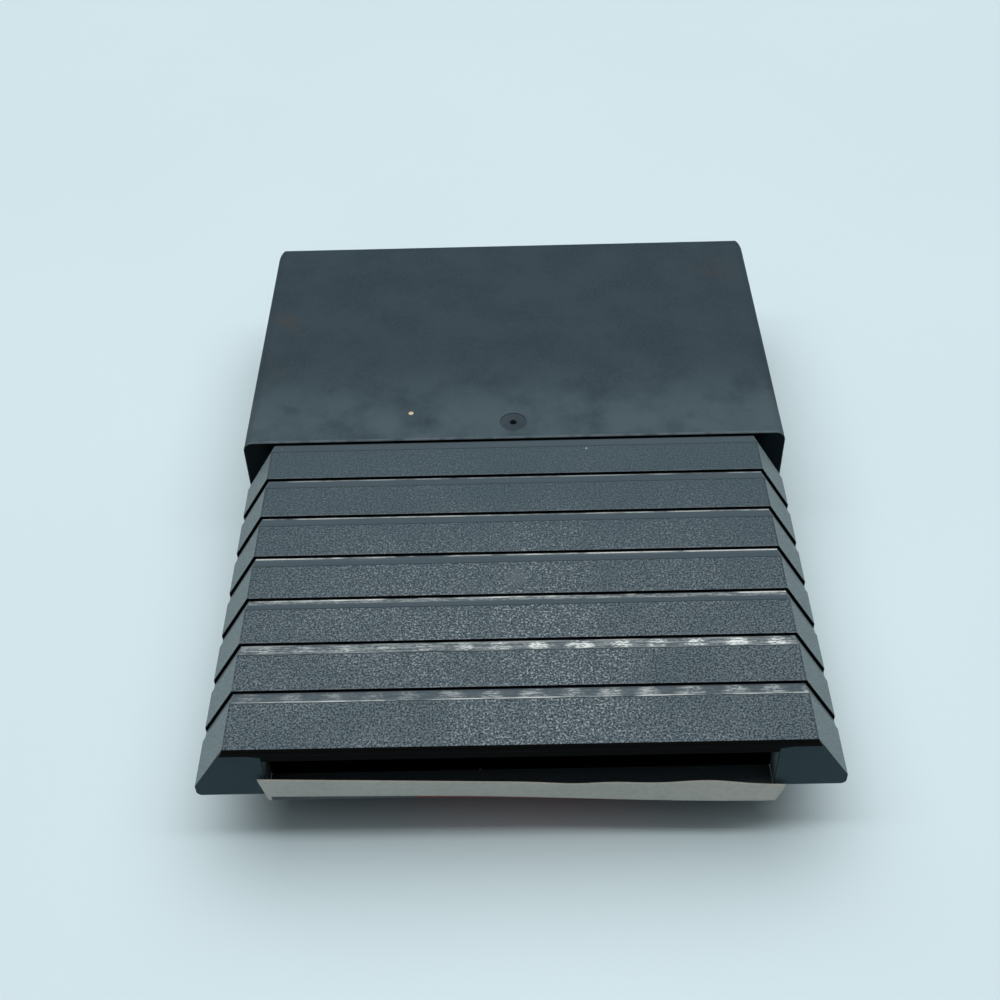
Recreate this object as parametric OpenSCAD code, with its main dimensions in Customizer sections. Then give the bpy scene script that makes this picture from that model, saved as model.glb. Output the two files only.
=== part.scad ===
// Ribbed game cartridge, lying on its label side with the ribbed back up.
// X runs across, +Y points from the grip to the connector mouth, +Z up.
// The origin is under the middle of the cartridge, on the surface it lies on.

/* [Case] */
// Width across the smooth case
case_w = 81; // [76:0.5:90]
// Length of the smooth case, from the grip to the mouth end
case_len = 51.2; // [48:0.2:64]
// Thickness of the case
case_t = 19.6; // [18:0.2:24]
// Moulded wall thickness
wall = 2; // [1.6:0.1:2.4]
// Radius of the long edges
edge_r = 1.8; // [0.8:0.1:3]
// Radius of the upright corners at the mouth end
corner_r = 2.4; // [1:0.1:4]
// Radius of the edges round the mouth end
end_r = 0.8; // [0.4:0.1:1.4]
// Depth and height of the step along the joint of the two shells
seam_step = 0.2; // [0.1:0.05:0.3]
// Radius of the case's edges at the rim above the ribs
rim_r = 0.25; // [0.1:0.05:0.4]
// Height of the joint between the two shells
split_z = 10.3; // [9.8:0.1:11.4]
// Diameter of the shallow dimple round the moulding gate
gate_d = 4; // [3:0.1:5]
// Distance from the rim to the gate
gate_back = 3.7; // [3:0.05:6]

/* [Grip] */
// Flat width of the ribbed back
grip_top_w = 71.8; // [66:0.2:73]
// Setback of the grip's outer edges from the sides of the case
grip_setback = 0.1; // [0.1:0.1:0.8]
// Drop of the slanted sides from the ribbed back
slant_drop = 7.4; // [6:0.1:7.8]
// Step from the smooth case down to the ribs
rim_step = 0.1; // [0:0.05:0.4]
// Radius of the outer edges, by the joint
outer_edge_r = 0.7; // [0.4:0.1:1.2]
// Distance from one rib to the next
rib_pitch = 7.75; // [7:0.01:9]
// Number of ribs
rib_count = 7; // [5:1:8]
// Extra length of the last rib
last_rib_extra = 1.6; // [0:0.1:3]
// Depth of the grooves between the ribs
groove_depth = 0.45; // [0.3:0.05:0.8]
// Length of the hollow slope in each groove
groove_run = 2; // [1.4:0.1:3]

/* [End Of The Grip] */
// Depth of the square edge above the end face
end_band = 0.8; // [0.6:0.1:1.6]
// Setback of the end face under that edge
end_setback = 0.4; // [0.1:0.05:0.6]
// Width of the hollow in the end face
pocket_w = 62.8; // [54:0.2:66]
// Height of solid plastic left above that hollow
pocket_top = 2.4; // [1.6:0.1:3]
// Depth of that hollow
pocket_depth = 3; // [1.5:0.1:4]

/* [Label Panel] */
// Width of the label panel
panel_w = 62.6; // [56:0.2:66]
// Height of the panel off the table, by the case
panel_rise = 0.4; // [0.3:0.05:1]
// Height of the panel off the table, at the end of the grip
panel_end_z = 8; // [6:0.1:8.4]
// Lean of the panel's end wall, in degrees
end_lean = 10; // [0:1:20]
// Radius of the fold between the panel and its end wall
fold_r = 0.8; // [0.4:0.1:1.4]

/* [Label] */
// Thickness of the label
label_t = 0.16; // [0.1:0.02:0.24]
// Gap from the case to the edge of the label
label_gap = 1.4; // [0.6:0.1:4]
// Height that the free end of the label stands over the joint
flap_rise = 1.5; // [0.5:0.1:3]
// Extra width of the label's free end, on each side
flap_flare = 1.1; // [0:0.1:1.6]

/* [Mouth] */
// Width of the connector mouth
mouth_w = 54; // [46:0.5:60]
// Height of the connector mouth
mouth_h = 13; // [11.6:0.2:13.6]
// Radius of the mouth's corners
mouth_r = 1.6; // [0.5:0.1:3]
// Lead-in chamfer round the mouth
mouth_chamfer = 0.8; // [0.3:0.1:1.2]

/* [Circuit Board] */
// Thickness of the board
board_t = 1.6; // [1.2:0.1:1.8]
// Width of the board's body
board_w = 58; // [50:0.5:62]
// Length of the board's body
board_len = 28; // [26:0.5:29]
// Width of the tongue that carries the contacts
tongue_w = 33; // [32:0.5:36]
// Length of the tongue
tongue_len = 14; // [12:0.5:15]
// Chamfer at the tongue's corners and edge
tongue_chamfer = 0.5; // [0.3:0.1:0.6]
// Distance from the mouth end to the board's edge
edge_setback = 6; // [5:0.5:8]
// Pitch of the contacts
contact_pitch = 2.54; // [2.5:0.01:2.6]
// Contacts on each side of the board
contact_count = 12; // [8:1:12]
// Width of a contact
contact_w = 1.7; // [1.2:0.1:2]
// Length of a contact
contact_len = 9; // [7:0.5:10]
// Thickness of a contact
contact_t = 0.08; // [0.05:0.01:0.12]

/* [Memory Chip] */
// Length of the chip's package
chip_len = 31.6; // [30:0.2:33]
// Width of the chip's package
chip_w = 13.8; // [13:0.1:14.2]
// Thickness of the chip's package
chip_t = 3.9; // [3.4:0.1:4.2]
// Gap between the chip and the board
chip_gap = 0.6; // [0.4:0.1:1]
// Distance between the two rows of leads
lead_row = 15.24; // [15:0.02:15.6]
// Leads on each side of the chip
lead_count = 12; // [8:1:12]
// Pitch of the leads
lead_pitch = 2.54; // [2.5:0.01:2.6]
// Width of a lead at the package
lead_w = 1.4; // [1.2:0.1:1.6]
// Width of a lead's pin
pin_w = 0.5; // [0.4:0.05:0.6]
// Thickness of a lead
lead_t = 0.3; // [0.2:0.05:0.4]
// Distance from the back edge of the board to the middle of the chip
chip_back = 14; // [12:0.5:16]

/* [Capacitor] */
// Diameter of the disc
disc_d = 5.2; // [4.6:0.1:5.4]
// Thickness of the disc
disc_t = 2.4; // [2:0.1:3]
// Distance between its two wires
wire_pitch = 5.08; // [5:0.02:5.2]
// Diameter of a wire
wire_d = 0.6; // [0.5:0.05:0.7]

/* [Posts And Pins] */
// Distance across between the board posts
post_span = 47; // [46.5:0.1:48]
// Diameter of a board post
post_d = 5; // [4.5:0.1:6]
// Diameter of a board pin
board_pin_d = 2.4; // [2:0.1:2.6]
// Length that a board pin stands past the board
board_pin_past = 1.6; // [1:0.1:2.4]
// Clearance round a pin
pin_gap = 0.15; // [0.1:0.05:0.25]
// Diameter of a corner pin
corner_pin_d = 3; // [2.6:0.1:3.4]
// Length that a corner pin reaches past the joint
corner_pin_past = 3.2; // [2:0.1:4]
// Diameter of a corner post
corner_post_d = 6.4; // [6:0.1:7]
// Gap between a pin's tip and the bottom of its socket
tip_gap = 0.3; // [0.2:0.05:0.5]

/* [Hidden] */
$fn = 48;
cut = 1;

// Along the cartridge, from the free end of the label to the mouth
grip_len = rib_count * rib_pitch + last_rib_extra;
flap_reach = flap_rise * tan(end_lean) + label_t / cos(end_lean) - end_setback;
total_len = case_len + grip_len + max(0, flap_reach);
mouth_y = total_len / 2;
rim_y = mouth_y - case_len;
end_y = rim_y - grip_len;
end_face_y = end_y + end_setback;
pocket_y = end_face_y + pocket_depth;

// Section of the grip
grip_outer_w = case_w - 2 * grip_setback;
rib_z = case_t - rim_step;
slant_z = rib_z - slant_drop;
slant_out = (grip_outer_w - grip_top_w) / 2;
slant_angle = atan2(slant_drop, slant_out);
slant_len = norm([slant_out, slant_drop]);
groove_r = (groove_run * groove_run + groove_depth * groove_depth) / (2 * groove_depth);

// Side view of the label panel: the corner at the fold, both outward normals and the fold's centre
wall_foot = [end_face_y, split_z];
fold_corner = [end_face_y + (split_z - panel_end_z) * tan(end_lean), panel_end_z];
panel_slope = atan2(panel_end_z - panel_rise, rim_y - fold_corner[0]);
panel_normal = [-sin(panel_slope), -cos(panel_slope)];
end_normal = [-cos(end_lean), -sin(end_lean)];
fold_centre = fold_corner - fold_r * (panel_normal + end_normal) / (1 + panel_normal * end_normal);
end_up = [-sin(end_lean), cos(end_lean)];
panel_turn = 270 - panel_slope;
end_turn = 180 + end_lean;
fold_steps = 8;
flange_t = wall;
seam_gap = 0.15;

// Moulding gate
gate_depth = 0.1;
gate_dot_d = 1;
gate_dot_depth = 0.25;

// Inside of the shells
inner_w = case_w - 2 * wall;
inner_t = case_t - 2 * wall;
inner_r = 0.6;

// Circuit board, level with the middle of the case
board_z = case_t / 2 - board_t / 2;
board_top = board_z + board_t;
tongue_y = mouth_y - edge_setback;
body_y = tongue_y - tongue_len;
board_back_y = body_y - board_len;
pad_bevel = 0.4;

// Memory chip, hanging under the board
chip_y = board_back_y + chip_back;
chip_mid_z = board_z - chip_gap - chip_t / 2;
chip_side_lean = 0.5;
lead_out = lead_row / 2;
lead_past = 0.9;
lead_hole_d = 0.9;
solder_d = 1.7;
solder_h = 0.7;
notch_r = 1.5;
dimple_d = 1.4;
dimple_inset = 2.1;
mark_depth = 0.2;

// Capacitor, beside the chip
cap_gap = 3.8;
cap_x = chip_len / 2 + cap_gap + disc_t / 2;
cap_lift = 0.6;
cap_z = board_z - cap_lift - disc_d / 2;

// Board posts and corner posts
post_inset = 4.6;
board_posts = [for (x = [-1, 1], y = [board_back_y + post_inset, body_y - post_inset])
               [x * post_span / 2, y]];
corner_inset = 1.2;
corner_x = inner_w / 2 - corner_post_d / 2 - corner_inset;
corner_y0 = rim_y + wall + corner_post_d / 2 + corner_inset;
corner_y1 = mouth_y - wall - corner_post_d / 2 - corner_inset;
grip_post_x = panel_w / 2 - wall - corner_post_d / 2 - seam_gap;
grip_post_y = pocket_y + 2 * wall + corner_post_d / 2 + corner_inset;
corner_posts = [for (x = [-1, 1], y = [corner_y0, corner_y1]) [x * corner_x, y]];
grip_posts = [for (x = [-1, 1]) [x * grip_post_x, grip_post_y]];

// Rectangle with round corners, about its centre
module rounded_rect(w, h, r) {
    square([w - 2 * r, h], center = true);
    square([w, h - 2 * r], center = true);
    for (x = [-1, 1], y = [-1, 1])
        translate([x * (w / 2 - r), y * (h / 2 - r)])
            circle(r = r);
}

// Strip from y0 to y1 with round corners, of one radius at the near end and another at the far end
module rounded_strip(w, y0, y1, near_r, far_r) {
    middle = (y0 + y1) / 2;
    translate([-w / 2, y0 + near_r])
        square([w, y1 - y0 - near_r - far_r]);
    translate([near_r - w / 2, y0])
        square([w - 2 * near_r, middle - y0]);
    translate([far_r - w / 2, middle])
        square([w - 2 * far_r, y1 - middle]);
    for (x = [-1, 1]) {
        translate([x * (w / 2 - near_r), y0 + near_r])
            circle(r = near_r);
        translate([x * (w / 2 - far_r), y1 - far_r])
            circle(r = far_r);
    }
}

// Extrudes an outline drawn across and up, from y0 to y1
module along_y(y0, y1) {
    translate([0, y1, 0])
        rotate([90, 0, 0])
            linear_extrude(height = y1 - y0)
                children();
}

// Extrudes an outline drawn along and up, across the middle
module across_x(w) {
    rotate([90, 0, 90])
        linear_extrude(height = w, center = true)
            children();
}

// Block between two opposite corners
module block(low, high) {
    translate(low)
        cube(high - low);
}

// Smooth case with round edges, before it is hollowed
module case_block() {
    intersection() {
        along_y(rim_y, mouth_y)
            translate([0, case_t / 2])
                rounded_rect(case_w, case_t, edge_r);
        linear_extrude(height = case_t)
            rounded_strip(case_w, rim_y, mouth_y, rim_r, corner_r);
        across_x(case_w)
            translate([0, case_t / 2])
                rotate(-90)
                    rounded_strip(case_t, rim_y, mouth_y, rim_r, end_r);
    }
}

// Hollow of the case
module case_hollow() {
    along_y(rim_y + wall, mouth_y - wall)
        translate([0, case_t / 2])
            rounded_rect(inner_w, inner_t, inner_r);
}

// Mouth for the connector, with a shallow step round it
module mouth_opening() {
    translate([0, 0, case_t / 2]) {
        along_y(mouth_y - wall - cut, mouth_y + cut)
            rounded_rect(mouth_w, mouth_h, mouth_r);
        along_y(mouth_y - mouth_chamfer, mouth_y + cut)
            rounded_rect(mouth_w + 2 * mouth_chamfer, mouth_h + 2 * mouth_chamfer,
                         mouth_r + mouth_chamfer);
    }
}

// What comes off the case's lower edge to show the joint as a thin line
module seam_line() {
    translate([0, 0, split_z - cut])
        linear_extrude(height = cut + seam_step)
            difference() {
                translate([-case_w, rim_y - cut])
                    square([2 * case_w, case_len + 2 * cut]);
                rounded_strip(case_w - 2 * seam_step, rim_y - 2 * cut, mouth_y - seam_step,
                              rim_r, corner_r - seam_step);
            }
}

// Dimple and dot that the moulding gate leaves on the back of the case
module gate_mark() {
    translate([0, rim_y + gate_back, case_t]) {
        cylinder(d = gate_d, h = 2 * gate_depth, center = true);
        cylinder(d = gate_dot_d, h = 2 * gate_dot_depth, center = true);
    }
}

// Outline of the grip above the joint, moved inwards by an inset
module grip_outline(inset = 0) {
    top_x = grip_top_w / 2 - inset * tan(slant_angle / 2);
    side_x = grip_outer_w / 2 - inset;
    side_z = slant_z - inset * tan((90 - slant_angle) / 2);
    top_z = rib_z - inset;
    polygon([[-side_x, split_z], [side_x, split_z], [side_x, side_z],
             [top_x, top_z], [-top_x, top_z], [-side_x, side_z]]);
}

// What comes off the grip's outer edge to make it round
module outer_edge_cut() {
    for (side = [-1, 1])
        scale([side, 1])
            translate([grip_outer_w / 2 - outer_edge_r, split_z])
                difference() {
                    translate([0, -cut])
                        square([outer_edge_r + cut, outer_edge_r + cut]);
                    translate([0, outer_edge_r])
                        circle(r = outer_edge_r);
                }
}

// Ribbed half of the grip as a solid: the last rib overhangs the end face by a little
module grip_block() {
    along_y(end_face_y, rim_y + cut)
        difference() {
            grip_outline();
            outer_edge_cut();
        }
    along_y(end_y, rim_y)
        intersection() {
            grip_outline();
            translate([-case_w / 2, rib_z - end_band])
                square([case_w, end_band]);
        }
}

// Groove between two ribs, along a face: an upright wall, or a hollow that runs past it, and a hollow slope
module groove(from, to, past) {
    translate([from, 0, 0])
        rotate([90, 0, 90])
            linear_extrude(height = to - from)
                intersection() {
                    translate([0, groove_r - groove_depth])
                        circle(r = groove_r, $fn = 96);
                    translate([-2 * groove_run, -2 * groove_depth])
                        square([2 * groove_run + past, 3 * groove_depth]);
                }
}

// One groove over the back and down both slanted sides, where it runs out above the outer edge
module groove_ring(past) {
    run_out = groove_depth * tan(slant_angle) + cut;
    translate([0, 0, rib_z])
        groove(-grip_top_w / 2 - groove_depth, grip_top_w / 2 + groove_depth, past);
    for (side = [0, 1])
        mirror([side, 0, 0])
            translate([grip_top_w / 2, 0, rib_z])
                rotate([0, slant_angle, 0])
                    groove(-groove_depth, slant_len + run_out, past);
}

// Ribbed half of the grip with its grooves cut: the first one runs on into the case, which fills it
module ribbed_grip() {
    difference() {
        grip_block();
        for (i = [0 : rib_count - 1])
            translate([0, rim_y - i * rib_pitch, 0])
                groove_ring(i == 0 ? 2 * cut : 0);
    }
}

// Hollow of the ribbed half, which leaves a wall round the pocket in its end
module grip_hollow() {
    difference() {
        along_y(end_face_y + wall, rim_y + wall + cut)
            grip_outline(wall);
        block([-pocket_w / 2 - wall, end_y, 0],
              [pocket_w / 2 + wall, pocket_y + wall, rib_z - pocket_top + wall]);
    }
}

// Posts that reach from the back wall down to a height
module hanging_posts(places, d, low) {
    for (place = places)
        translate([place[0], place[1], low])
            cylinder(d = d, h = case_t - wall - low);
}

// Sockets for pins, open at a height
module sockets(places, pin_d, low, depth) {
    for (place = places)
        translate([place[0], place[1], low - cut])
            cylinder(d = pin_d + 2 * pin_gap, h = depth + cut);
}

module back_shell() {
    color([0.2, 0.22, 0.24])
        difference() {
            union() {
                difference() {
                    union() {
                        intersection() {
                            case_block();
                            block([-case_w, rim_y, split_z], [case_w, mouth_y, case_t]);
                        }
                        ribbed_grip();
                    }
                    case_hollow();
                    grip_hollow();
                    block([-pocket_w / 2, end_y - cut, 0],
                          [pocket_w / 2, pocket_y, rib_z - pocket_top]);
                }
                hanging_posts(board_posts, post_d, board_top);
                hanging_posts(corner_posts, corner_post_d, split_z);
                hanging_posts(grip_posts, corner_post_d, split_z);
            }
            mouth_opening();
            seam_line();
            gate_mark();
            sockets(board_posts, board_pin_d, board_top, board_pin_past + tip_gap);
            sockets(corner_posts, corner_pin_d, split_z, corner_pin_past + tip_gap);
            sockets(grip_posts, corner_pin_d, split_z, corner_pin_past + tip_gap);
        }
}

// Side view of the label panel, grown outwards, with its end wall reaching past the joint
module panel_side(grow = 0, rise = 0) {
    wall_end = wall_foot + rise / cos(end_lean) * end_up;
    fold_arc = [for (i = [0 : fold_steps])
                let (turn = panel_turn + (end_turn - panel_turn) * i / fold_steps)
                fold_centre + (fold_r + grow) * [cos(turn), sin(turn)]];
    polygon(concat([[rim_y + cut, wall_end[1]],
                    [rim_y + cut, panel_rise - cut * tan(panel_slope)] + grow * panel_normal,
                    [rim_y, panel_rise] + grow * panel_normal],
                   fold_arc,
                   [wall_end + grow * end_normal, wall_end]));
}

// Hollow of the label panel
module panel_hollow() {
    back_y = pocket_y + 2 * wall;
    front_y = rim_y + wall + cut;
    lift = wall / cos(panel_slope);
    back_z = panel_rise + (rim_y - back_y) * tan(panel_slope) + lift;
    front_z = panel_rise + (rim_y - front_y) * tan(panel_slope) + lift;
    across_x(panel_w - 2 * wall)
        polygon([[back_y, back_z], [front_y, front_z],
                 [front_y, split_z + flange_t + cut], [back_y, split_z + flange_t + cut]]);
}

// Flange that closes the ribbed half from below, inside its walls
module wing_flange() {
    difference() {
        along_y(end_face_y + wall + seam_gap, rim_y)
            intersection() {
                grip_outline(wall + seam_gap);
                translate([-case_w / 2, split_z])
                    square([case_w, flange_t]);
            }
        block([-pocket_w / 2 - wall - seam_gap, end_y, split_z - cut],
              [pocket_w / 2 + wall + seam_gap, pocket_y + wall + seam_gap, case_t]);
    }
}

// Posts that stand on the front wall up to a height, each with a pin on top
module standing_posts(places, d, top, pin_d, past) {
    for (place = places)
        translate([place[0], place[1], wall / 2]) {
            cylinder(d = d, h = top - wall / 2);
            cylinder(d = pin_d, h = top - wall / 2 + past);
        }
}

module front_shell() {
    color([0.15, 0.16, 0.17]) {
        difference() {
            union() {
                intersection() {
                    case_block();
                    block([-case_w, rim_y, 0], [case_w, mouth_y, split_z]);
                }
                across_x(panel_w)
                    panel_side();
                wing_flange();
            }
            case_hollow();
            panel_hollow();
            mouth_opening();
        }
        standing_posts(board_posts, post_d, board_z, board_pin_d, board_t + board_pin_past);
        standing_posts(corner_posts, corner_post_d, split_z, corner_pin_d, corner_pin_past);
        intersection() {
            standing_posts(grip_posts, corner_post_d, split_z, corner_pin_d, corner_pin_past);
            across_x(panel_w)
                panel_side(rise = corner_pin_past + cut);
        }
    }
}

// Outline of the label seen from the end: its free edge is wider than the panel
module label_front() {
    low_x = panel_w / 2;
    high_x = panel_w / 2 + flap_flare;
    high_z = split_z + flap_rise;
    polygon([[-low_x, -cut], [low_x, -cut], [low_x, panel_end_z],
             [high_x, high_z], [-high_x, high_z], [-low_x, panel_end_z]]);
}

module label() {
    color([0.78, 0.78, 0.74])
        intersection() {
            across_x(panel_w + 2 * flap_flare)
                difference() {
                    panel_side(label_t, flap_rise);
                    panel_side(0, flap_rise);
                    translate([rim_y - label_gap, -case_t])
                        square([case_len, 3 * case_t]);
                }
            along_y(end_y - case_t, rim_y)
                label_front();
        }
}

// Places of the chip's leads, seen from above
lead_places = [for (i = [0 : lead_count - 1], side = [-1, 1])
               [(i - (lead_count - 1) / 2) * lead_pitch, chip_y + side * lead_out]];
wire_places = [for (side = [-1, 1]) [cap_x, chip_y + side * wire_pitch / 2]];

module board_outline() {
    translate([-board_w / 2, board_back_y])
        square([board_w, board_len]);
    translate([0, body_y - cut])
        polygon([[-tongue_w / 2, 0], [tongue_w / 2, 0],
                 [tongue_w / 2, tongue_len + cut - tongue_chamfer],
                 [tongue_w / 2 - tongue_chamfer, tongue_len + cut],
                 [tongue_chamfer - tongue_w / 2, tongue_len + cut],
                 [-tongue_w / 2, tongue_len + cut - tongue_chamfer]]);
}

// Side view of the board, with both edges of the tongue bevelled
module board_side() {
    polygon([[board_back_y, board_z], [tongue_y - pad_bevel, board_z],
             [tongue_y, board_z + pad_bevel], [tongue_y, board_top - pad_bevel],
             [tongue_y - pad_bevel, board_top], [board_back_y, board_top]]);
}

module circuit_board() {
    color([0.18, 0.34, 0.2])
        difference() {
            intersection() {
                translate([0, 0, board_z])
                    linear_extrude(height = board_t)
                        board_outline();
                across_x(board_w)
                    board_side();
            }
            for (place = lead_places)
                translate([place[0], place[1], board_z - cut])
                    cylinder(d = lead_hole_d, h = board_t + 2 * cut, $fn = 16);
            for (place = wire_places)
                translate([place[0], place[1], board_z - cut])
                    cylinder(d = lead_hole_d, h = board_t + 2 * cut, $fn = 16);
            for (place = board_posts)
                translate([place[0], place[1], board_z - cut])
                    cylinder(d = board_pin_d + 2 * pin_gap, h = board_t + 2 * cut);
        }
}

module contact_fingers() {
    finger_y = tongue_y - pad_bevel - contact_len;
    color([0.8, 0.66, 0.32])
        for (i = [0 : contact_count - 1], z = [board_z - contact_t, board_top])
            translate([(i - (contact_count - 1) / 2) * contact_pitch - contact_w / 2, finger_y, z])
                cube([contact_w, contact_len, contact_t]);
}

// Package of the chip: six-sided in section, with a notch and a dimple at one end
module chip_package() {
    half_w = chip_w / 2;
    half_t = chip_t / 2;
    color([0.12, 0.12, 0.13])
        translate([0, chip_y, chip_mid_z])
            difference() {
                across_x(chip_len)
                    polygon([[-half_w, 0], [chip_side_lean - half_w, -half_t],
                             [half_w - chip_side_lean, -half_t], [half_w, 0],
                             [half_w - chip_side_lean, half_t], [chip_side_lean - half_w, half_t]]);
                translate([-chip_len / 2, 0, -half_t - cut])
                    cylinder(r = notch_r, h = mark_depth + cut);
                translate([dimple_inset - chip_len / 2, half_w - dimple_inset, -half_t - cut])
                    cylinder(d = dimple_d, h = mark_depth + cut);
            }
}

// One lead, out of the package's side, up past the board
module lead() {
    leg_top = board_z - chip_gap / 2;
    block([-lead_w / 2, chip_w / 2, chip_mid_z - lead_t / 2],
          [lead_w / 2, lead_out + lead_t / 2, chip_mid_z + lead_t / 2]);
    block([-lead_w / 2, lead_out - lead_t / 2, chip_mid_z - lead_t / 2],
          [lead_w / 2, lead_out + lead_t / 2, leg_top]);
    block([-pin_w / 2, lead_out - lead_t / 2, chip_mid_z],
          [pin_w / 2, lead_out + lead_t / 2, board_top + lead_past]);
}

module chip_leads() {
    color([0.72, 0.72, 0.7])
        for (i = [0 : lead_count - 1], turn = [0, 180])
            translate([(i - (lead_count - 1) / 2) * lead_pitch, chip_y, 0])
                rotate([0, 0, turn])
                    lead();
}

module capacitor_disc() {
    color([0.72, 0.42, 0.16])
        translate([cap_x, chip_y, cap_z])
            rotate([0, 90, 0])
                cylinder(d = disc_d, h = disc_t, center = true);
}

// Wires of the capacitor, each in a kink from the disc's rim to its hole
module capacitor_wires() {
    wire_r = wire_d / 2;
    disc_r = disc_d / 2;
    color([0.72, 0.72, 0.7])
        difference() {
            for (place = wire_places)
                translate([place[0], place[1], cap_z])
                    cylinder(r = wire_r, h = board_top + lead_past - cap_z, $fn = 16);
            translate([cap_x, chip_y, cap_z])
                rotate([0, 90, 0])
                    cylinder(r = disc_r, h = 2 * disc_t, center = true);
        }
}

module solder_joints() {
    color([0.76, 0.77, 0.78]) {
        for (place = lead_places)
            translate([place[0], place[1], board_top])
                difference() {
                    cylinder(d1 = solder_d, d2 = solder_d / 2, h = solder_h, $fn = 16);
                    cube([pin_w, lead_t, 4 * solder_h], center = true);
                }
        for (place = wire_places)
            translate([place[0], place[1], board_top])
                difference() {
                    cylinder(d1 = solder_d, d2 = solder_d / 2, h = solder_h, $fn = 16);
                    cylinder(d = wire_d, h = 4 * solder_h, center = true, $fn = 16);
                }
    }
}

back_shell();
front_shell();
label();
circuit_board();
contact_fingers();
chip_package();
chip_leads();
capacitor_disc();
capacitor_wires();
solder_joints();
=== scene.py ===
# %% [markdown]
# A game cartridge, lying on its label side with its ribbed back up.
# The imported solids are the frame: they hold the real sizes, and this lesson gives each of them its finish.
# Where a solid is only a plain stand-in, such as the flat label, a modelled mesh takes its place.

# %% The frame
import math

import bmesh
import bpy
from mathutils import Matrix, Vector


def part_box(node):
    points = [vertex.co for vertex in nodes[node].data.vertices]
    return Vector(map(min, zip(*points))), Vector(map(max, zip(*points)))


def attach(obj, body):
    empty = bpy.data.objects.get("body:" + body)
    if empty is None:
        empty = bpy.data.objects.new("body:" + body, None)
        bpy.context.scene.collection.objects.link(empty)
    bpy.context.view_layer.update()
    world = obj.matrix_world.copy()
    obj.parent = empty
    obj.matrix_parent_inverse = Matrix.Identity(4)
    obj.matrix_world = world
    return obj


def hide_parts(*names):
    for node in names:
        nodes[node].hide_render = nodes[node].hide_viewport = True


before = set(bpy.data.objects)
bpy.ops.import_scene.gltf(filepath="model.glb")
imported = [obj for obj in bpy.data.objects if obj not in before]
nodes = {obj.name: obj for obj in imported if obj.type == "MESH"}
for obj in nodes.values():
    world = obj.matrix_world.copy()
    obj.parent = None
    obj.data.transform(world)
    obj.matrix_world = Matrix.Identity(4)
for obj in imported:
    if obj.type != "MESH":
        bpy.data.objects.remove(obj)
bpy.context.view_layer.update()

print("nodes:", sorted(nodes))

# %% [markdown]
# Every finish below needs to know where it is on the moulding: above a rib, in a groove or in the end.
# The boxes of the solids give the outer places, and the moulding's own spacing gives the rest.
# All of it is in metres, in the frame of the solids: X across, Y from the grip to the mouth, Z up.

# %% The moulding's places
MM = 0.001
CASE_LENGTH = 51.2 * MM
RIB_PITCH = 7.75 * MM
RIB_COUNT = 7
GROOVE_RUN = 2.0 * MM
GRIP_TOP_HALF = 35.9 * MM
SLANT_ANGLE = math.atan2(7.4, 4.5)
POCKET_HALF = 31.4 * MM
POCKET_TOP = 17.1 * MM
POCKET_DEPTH = 3.0 * MM
END_BAND = 0.8 * MM
END_SETBACK = 0.4 * MM
back_low, back_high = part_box("back_shell")
label_low, label_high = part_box("label")
board_low, board_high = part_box("circuit_board")
RIM_Y = back_high.y - CASE_LENGTH
END_Y = back_low.y
TOP_Z = back_high.z
RIB_Z = TOP_Z - 0.1 * MM
GROOVED = RIB_COUNT * RIB_PITCH - 0.5 * MM
GATE = (0, 6.04 * MM, TOP_Z)
SECOND_GATE = (0, -25.6 * MM, RIB_Z)
print("rim at", round(RIM_Y / MM, 2), "end at", round(END_Y / MM, 2), "top at", round(TOP_Z / MM, 2))

# %% [markdown]
# The picture was taken from above the grip, looking down at 44 degrees and turned a little off square.
# A camera turned by three angles has the same view: one matrix from its right, down and forward directions.
# The focal length is kept in pixels of a 1000 pixel square, because that is how it was measured.

# %% The camera
PICTURE = 1000
FOCAL_PIXELS = 1387
SENSOR = 36
CAMERA_PLACE = Vector((0.3, -152.24, 156.34)) * MM
PITCH, YAW, ROLL = (math.radians(angle) for angle in (44.04, 0.97, 1.88))


def camera_turn():
    turn = Matrix.Rotation(YAW, 3, "Z")
    right = turn @ Vector((1, 0, 0))
    forward = turn @ Vector((0, math.cos(PITCH), -math.sin(PITCH)))
    down = turn @ Vector((0, -math.sin(PITCH), -math.cos(PITCH)))
    rolled_right = math.cos(ROLL) * right + math.sin(ROLL) * down
    rolled_down = -math.sin(ROLL) * right + math.cos(ROLL) * down
    return Matrix((rolled_right, -rolled_down, -forward)).transposed()


camera_data = bpy.data.cameras.new("camera")
camera_data.sensor_width = SENSOR
camera_data.lens = FOCAL_PIXELS / PICTURE * SENSOR
camera_data.clip_start = 0.01
camera = bpy.data.objects.new("camera", camera_data)
camera.matrix_world = Matrix.Translation(CAMERA_PLACE) @ camera_turn().to_4x4()
bpy.context.scene.collection.objects.link(camera)
bpy.context.scene.camera = camera
print("lens:", round(camera_data.lens, 2), "mm")

# %% [markdown]
# Light is plain and level: two wide lamps above and a sky, with about a third of the light from each.
# The narrow lamp gives the crisp edge of the shadow under the label. The broad one hangs beyond
# the cartridge, so the floor in front of it brightens slowly over the next fifteen millimetres.
# The sky is dark near the horizon, as in a room, so little light gets in under the label.
# Together they bring a level surface to about the brightness that its colour says.

# %% The lamps and the sky
LAMP_HEIGHT = 0.9
LAMP_WIDTH = 1.7
NARROW_PLACE, NARROW_LENGTH, NARROW_POWER = -0.13, 0.14, 3.85
BROAD_PLACE, BROAD_LENGTH, BROAD_POWER = 0.42, 0.94, 7.52
SKY_STRENGTH = 0.642
DIM_BELOW, FULL_ABOVE = 0.4, 1.0


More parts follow.
